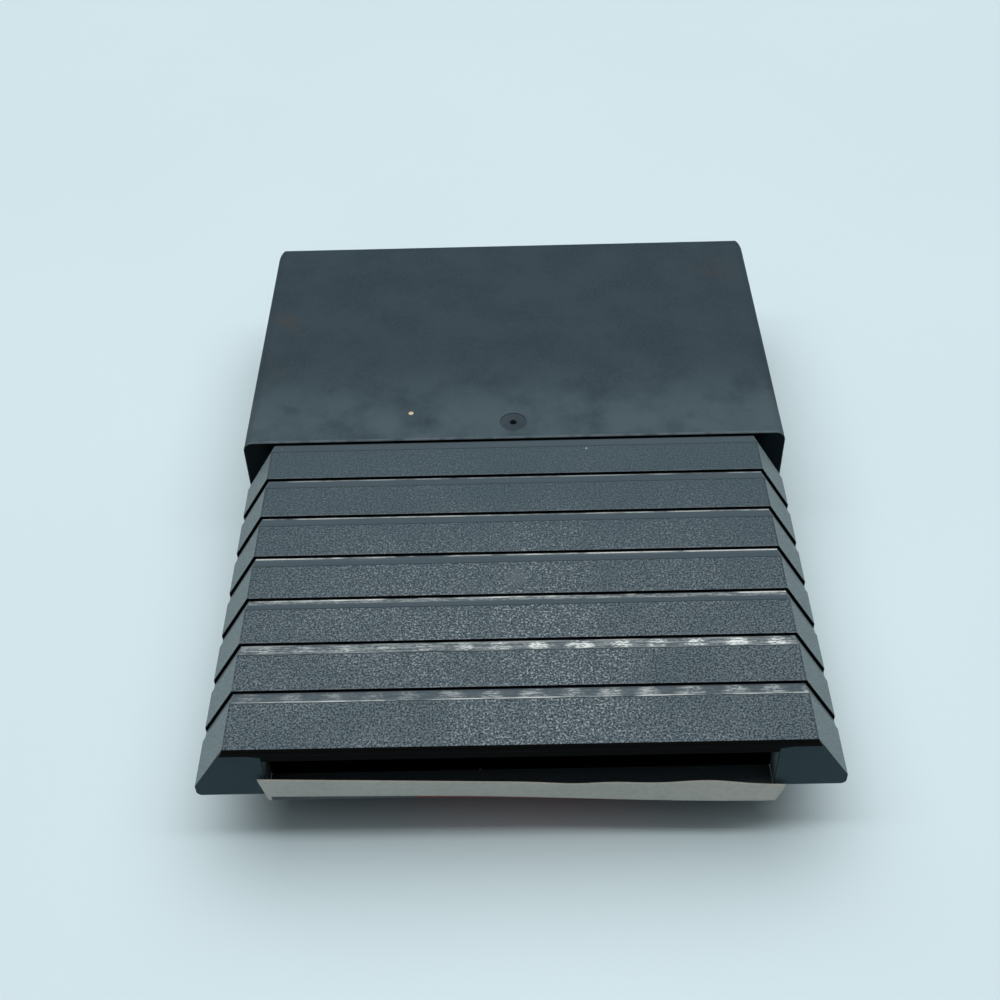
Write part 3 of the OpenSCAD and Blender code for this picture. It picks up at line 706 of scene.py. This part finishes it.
def make_label():
    sheet = bmesh.new()
    layout = sheet.loops.layers.uv.new("layout")
    bmesh.ops.create_grid(sheet, x_segments=ACROSS_STEPS, y_segments=ALONG_STEPS, size=0.5)
    past_fold = {}
    for vert in sheet.verts:
        vert.co, past_fold[vert] = label_point(vert.co.x + 0.5, vert.co.y + 0.5)
    for face in sheet.faces:
        face.smooth = True
        for loop in face.loops:
            loop[layout].uv = (loop.vert.co.x, past_fold[loop.vert])
    bmesh.ops.reverse_faces(sheet, faces=sheet.faces)
    label = to_object(sheet, "label_sheet")
    solid = label.modifiers.new("paper", "SOLIDIFY")
    solid.thickness = LABEL_THICKNESS
    solid.offset = 1
    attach(label, "root")
    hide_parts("label")
    return label


label_sheet = make_label()
print("label:", len(label_sheet.data.polygons), "faces")

# %% [markdown]
# The label's print is laid out on the flat sheet, so its coordinates are kept in a UV layer, in metres:
# across, and how far past the fold. A white margin runs round a slate field with a plain red panel in it.
# The sheet was stuck on a little turned, so the field's edge climbs over the fold on the left.

# %% Finish of the label
RING_PLACE = (1.0 * MM, -24.0 * MM, 0)
RING_OUTER, RING_INNER = 9.0 * MM, 6.0 * MM
SOFT_EDGE = 0.1 * MM


def label_ink(tree, layout, across, past):
    """Plain shapes only: a slate field, a red panel, a stripe and a ring."""
    panel = times(tree, near(tree, across, 1.0 * MM, 14.1 * MM, 14.0 * MM),
                  step_up(tree, past, -44.1 * MM, -44.0 * MM))
    stripe = times(tree, near(tree, past, -47.0 * MM, 0.8 * MM, 0.7 * MM),
                   near(tree, across, 0.0, 26.1 * MM, 26.0 * MM))
    outer = spot(tree, layout, RING_PLACE, RING_OUTER + SOFT_EDGE, RING_OUTER)
    inner = spot(tree, layout, RING_PLACE, RING_INNER + SOFT_EDGE, RING_INNER)
    ring = math_of(tree, "SUBTRACT", outer, inner)
    ink = blend_colour(tree, panel, colour(52, 62, 68), colour(122, 34, 40))
    return blend_colour(tree, math_of(tree, "MAXIMUM", stripe, ring), ink, colour(206, 198, 180))


def make_label_paper():
    material, tree, shader, where = new_material("label_paper", IOR=1.45, Specular_IOR_Level=0.3)
    layout = put(tree, "ShaderNodeUVMap", uv_map="layout").outputs[0]
    flat = put(tree, "ShaderNodeSeparateXYZ", {0: layout}).outputs
    across, past = flat["X"], flat["Y"]
    fibres = noise(tree, where, 1400.0, detail=4.0, roughness=0.7)
    cloud = noise(tree, where, 120.0, detail=3.0)
    paper = blend_colour(tree, cloud, colour(184, 183, 175), colour(198, 196, 188))
    darker = times(tree, step_up(tree, fibres, 0.4, 0.7), 0.35)
    paper = blend_colour(tree, darker, paper, colour(160, 159, 152))
    field_end = plus(tree, times(tree, across, -0.026), 0.75 * MM)
    before_end = math_of(tree, "SUBTRACT", field_end, past)
    field = step_up(tree, before_end, -0.06 * MM, 0.06 * MM)
    field = times(tree, field, near(tree, across, 0.0, 31.3 * MM, 31.2 * MM))
    field = times(tree, field, step_up(tree, past, -51.0 * MM, -50.9 * MM))
    tone = blend_colour(tree, field, paper, label_ink(tree, layout, across, past))
    wear_and_sheen = times(tree, near(tree, past, 0.0, 0.5 * MM, 0.1 * MM), step_up(tree, fibres, 0.45, 0.62))
    tone = blend_colour(tree, times(tree, wear_and_sheen, 0.6), tone, colour(186, 182, 172))
    grime = step_up(tree, noise(tree, where, 260.0, detail=5.0, roughness=0.7), 0.55, 0.75)
    tone = blend_colour(tree, times(tree, grime, 0.25), tone, colour(150, 140, 120))
    dots = use_group(tree, dust_group, Where=where, Spacing=3.0 * MM, Amount=0.3, Speck=0.035)["Mask"]
    tone = blend_colour(tree, times(tree, dots, 0.4), tone, colour(96, 90, 80))
    finish(tree, shader, tone, blend_value(tree, field, 0.6, 0.4), fibres, 0.02 * MM, 0.35)
    return material


give(label_sheet, make_label_paper())

# %% [markdown]
# Dark strips of painted shade fill the narrow seams between the two shells, at both sides
# of the hollow in the end. Each strip is a cube scaled to the seam, and it keeps the floor
# from showing through as a bright line.

# %% Painted shade in the seams
SEAM_SHADE_LOW = Vector((31.31, -53.0, 9.7)) * MM
SEAM_SHADE_HIGH = Vector((31.39, -50.2, 10.2)) * MM


def make_seam_shade():
    strips = bmesh.new()
    for side in (-1, 1):
        made = bmesh.ops.create_cube(strips, size=1)
        bmesh.ops.scale(strips, vec=SEAM_SHADE_HIGH - SEAM_SHADE_LOW, verts=made["verts"])
        middle = (SEAM_SHADE_LOW + SEAM_SHADE_HIGH) / 2
        bmesh.ops.translate(strips, vec=(side * middle.x, middle.y, middle.z), verts=made["verts"])
    seam_shade = to_object(strips, "seam_shade_strip")
    material, tree, shader, where = new_material("seam_shade", IOR=1.4, Specular_IOR_Level=0.1)
    mottle = noise(tree, where, 3000.0, detail=4.0, roughness=0.8)
    # Painted shade: a dark mottled tone for the strips.
    tone = blend_colour(tree, mottle, colour(8, 9, 10), colour(26, 27, 27))
    finish(tree, shader, tone, blend_value(tree, mottle, 0.85, 1), mottle, 0.05 * MM)
    give(seam_shade, material)
    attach(seam_shade, "root")
    return seam_shade


seam_shade = make_seam_shade()
print("lint strips:", len(seam_shade.data.polygons), "faces")

# %% [markdown]
# The board shows its edge in the mouth. Its faces have green solder mask with paler tracks under it,
# its cut edges show the bare laminate, and the tracks run in stripes from under the contacts towards the
# chip.

# %% Finish of the board
CONTACT_PITCH = 2.54 * MM


def make_board_laminate():
    material, tree, shader, where = new_material("board_laminate", IOR=1.5, Specular_IOR_Level=0.45)
    axes = put(tree, "ShaderNodeSeparateXYZ", {0: where}).outputs
    top = step_up(tree, axes["Z"], board_high.z - 0.03 * MM, board_high.z - 0.01 * MM)
    under = step_up(tree, axes["Z"], board_low.z + 0.03 * MM, board_low.z + 0.01 * MM)
    face = math_of(tree, "MAXIMUM", top, under)
    lanes = math_of(tree, "PINGPONG", plus(tree, axes["X"], CONTACT_PITCH / 2), CONTACT_PITCH / 2)
    track = step_up(tree, lanes, 0.32 * MM, 0.26 * MM)
    cross_lanes = math_of(tree, "PINGPONG", axes["Y"], 1.27 * MM)
    cross = times(tree, step_up(tree, cross_lanes, 0.22 * MM, 0.16 * MM),
                  step_up(tree, noise(tree, stretched(tree, where, (60, 300, 1)), 1.0), 0.5, 0.52))
    tracks = math_of(tree, "MAXIMUM", track, cross)
    cloud = noise(tree, where, 200.0, detail=3.0)
    mask = blend_colour(tree, cloud, colour(30, 82, 52), colour(38, 94, 60))
    mask = blend_colour(tree, times(tree, tracks, 0.5), mask, colour(72, 132, 84))
    weave = noise(tree, stretched(tree, where, (300, 300, 5200)), 1.0, detail=2.0)
    bare = blend_colour(tree, weave, colour(120, 116, 78), colour(168, 160, 116))
    tone = blend_colour(tree, face, bare, mask)
    specks = use_group(tree, dust_group, Where=where, Spacing=3.0 * MM, Amount=0.35, Speck=0.04)["Mask"]
    tone = blend_colour(tree, times(tree, specks, 0.5), tone, colour(176, 176, 168))
    rough = blend_value(tree, face, 0.7, blend_value(tree, cloud, 0.28, 0.38))
    finish(tree, shader, tone, rough, blend_value(tree, face, weave, tracks), 0.04 * MM, 0.4)
    return material


give(nodes["circuit_board"], make_board_laminate())

# %% [markdown]
# Metal inside has three finishes: gold contacts wiped along their length by a connector's springs,
# tinned leads and wires with a dull bloom, and solder that is smooth with a brown rim of flux.
# One function makes the metal and the caller says how it is marked.

# %% Metals
def make_metal(name, dull, bright, stain, marks, rough_low, rough_high):
    """A metal between two tones, stained in patches and marked by noise stretched along its wear."""
    material, tree, shader, where = new_material(name, Metallic=1.0)
    lines = noise(tree, stretched(tree, where, marks), 1.0, detail=4.0, roughness=0.65)
    cloud = noise(tree, where, 420.0, detail=3.0)
    tone = blend_colour(tree, step_up(tree, lines, 0.35, 0.65), dull, bright)
    tone = blend_colour(tree, times(tree, step_up(tree, cloud, 0.5, 0.7), 0.45), tone, stain)
    rough = blend_value(tree, step_up(tree, cloud, 0.35, 0.65), rough_low, rough_high)
    finish(tree, shader, tone, rough, lines, 0.02 * MM, 0.35)
    return material


gold = make_metal("contact_plating", colour(196, 158, 86), colour(232, 198, 120), colour(150, 110, 62),
                  (5200, 240, 1000), 0.22, 0.42)
tin = make_metal("tinned_metal", colour(150, 150, 147), colour(200, 200, 196), colour(120, 116, 106),
                 (900, 900, 900), 0.3, 0.5)
solder = make_metal("solder", colour(158, 160, 162), colour(206, 208, 208), colour(112, 84, 50),
                    (500, 500, 1500), 0.18, 0.4)
give(nodes["contact_fingers"], gold)
give(nodes["chip_leads"], tin)
give(nodes["capacitor_wires"], tin)
give(nodes["solder_joints"], solder)

# %% [markdown]
# The chip is moulded from a matt epoxy with a fine grain and a parting line round its middle.
# The small capacitor is dipped in a glossy ochre lacquer that pools and dimples.

# %% Finish of the chip and the capacitor
chip_low, chip_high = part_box("chip_package")
CHIP_MIDDLE = (chip_low.z + chip_high.z) / 2


def make_chip_plastic():
    material, tree, shader, where = new_material("chip_plastic", IOR=1.5, Specular_IOR_Level=0.4)
    axes = put(tree, "ShaderNodeSeparateXYZ", {0: where}).outputs
    grain = use_group(tree, grain_group, Where=where, Size=0.12 * MM)
    cloud = noise(tree, where, 150.0, detail=3.0)
    tone = blend_colour(tree, cloud, colour(34, 35, 37), colour(44, 45, 47))
    tone = blend_colour(tree, times(tree, grain["Shade"], 0.4), tone, colour(62, 63, 66))
    parting = near(tree, axes["Z"], CHIP_MIDDLE, 0.12 * MM, 0.05 * MM)
    tone = blend_colour(tree, times(tree, parting, 0.5), tone, colour(88, 88, 88))
    finish(tree, shader, tone, blend_value(tree, cloud, 0.5, 0.62), grain["Height"], 0.03 * MM)
    return material


def make_capacitor_coat():
    material, tree, shader, where = new_material("capacitor_coat", IOR=1.5, Coat_Weight=0.4,
                                                 Coat_Roughness=0.15)
    pool = noise(tree, where, 500.0, detail=3.0)
    cells = put(tree, "ShaderNodeTexVoronoi", {"Vector": where, "Scale": 1800.0}).outputs["Distance"]
    tone = blend_colour(tree, pool, colour(186, 104, 40), colour(208, 132, 60))
    tone = blend_colour(tree, times(tree, step_up(tree, cells, 0.25, 0.1), 0.4), tone, colour(140, 72, 26))
    finish(tree, shader, tone, blend_value(tree, pool, 0.3, 0.45), pool, 0.05 * MM, 0.4)
    return material


give(nodes["chip_package"], make_chip_plastic())
give(nodes["capacitor_disc"], make_capacitor_coat())

# %% [markdown]
# The floor is a plain pale sheet that only takes the cartridge's shadow.

# %% The floor
FLOOR_DROP = 0.03 * MM
FLOOR_HALF = 3.0


def make_floor():
    sheet = bmesh.new()
    bmesh.ops.create_grid(sheet, x_segments=1, y_segments=1, size=FLOOR_HALF)
    bmesh.ops.translate(sheet, vec=(0, 0, -FLOOR_DROP), verts=sheet.verts)
    floor = to_object(sheet, "floor")
    material, tree, shader, where = new_material("pale_sheet", Roughness=0.6, IOR=1.4)
    cloud = noise(tree, where, 12.0, detail=2.0)
    tone = blend_colour(tree, cloud, colour(202, 221, 227), colour(208, 227, 232))
    tree.links.new(tone, shader.inputs["Base Color"])
    give(floor, material)
    return floor


make_floor()
print("floor at", -FLOOR_DROP / MM, "mm")
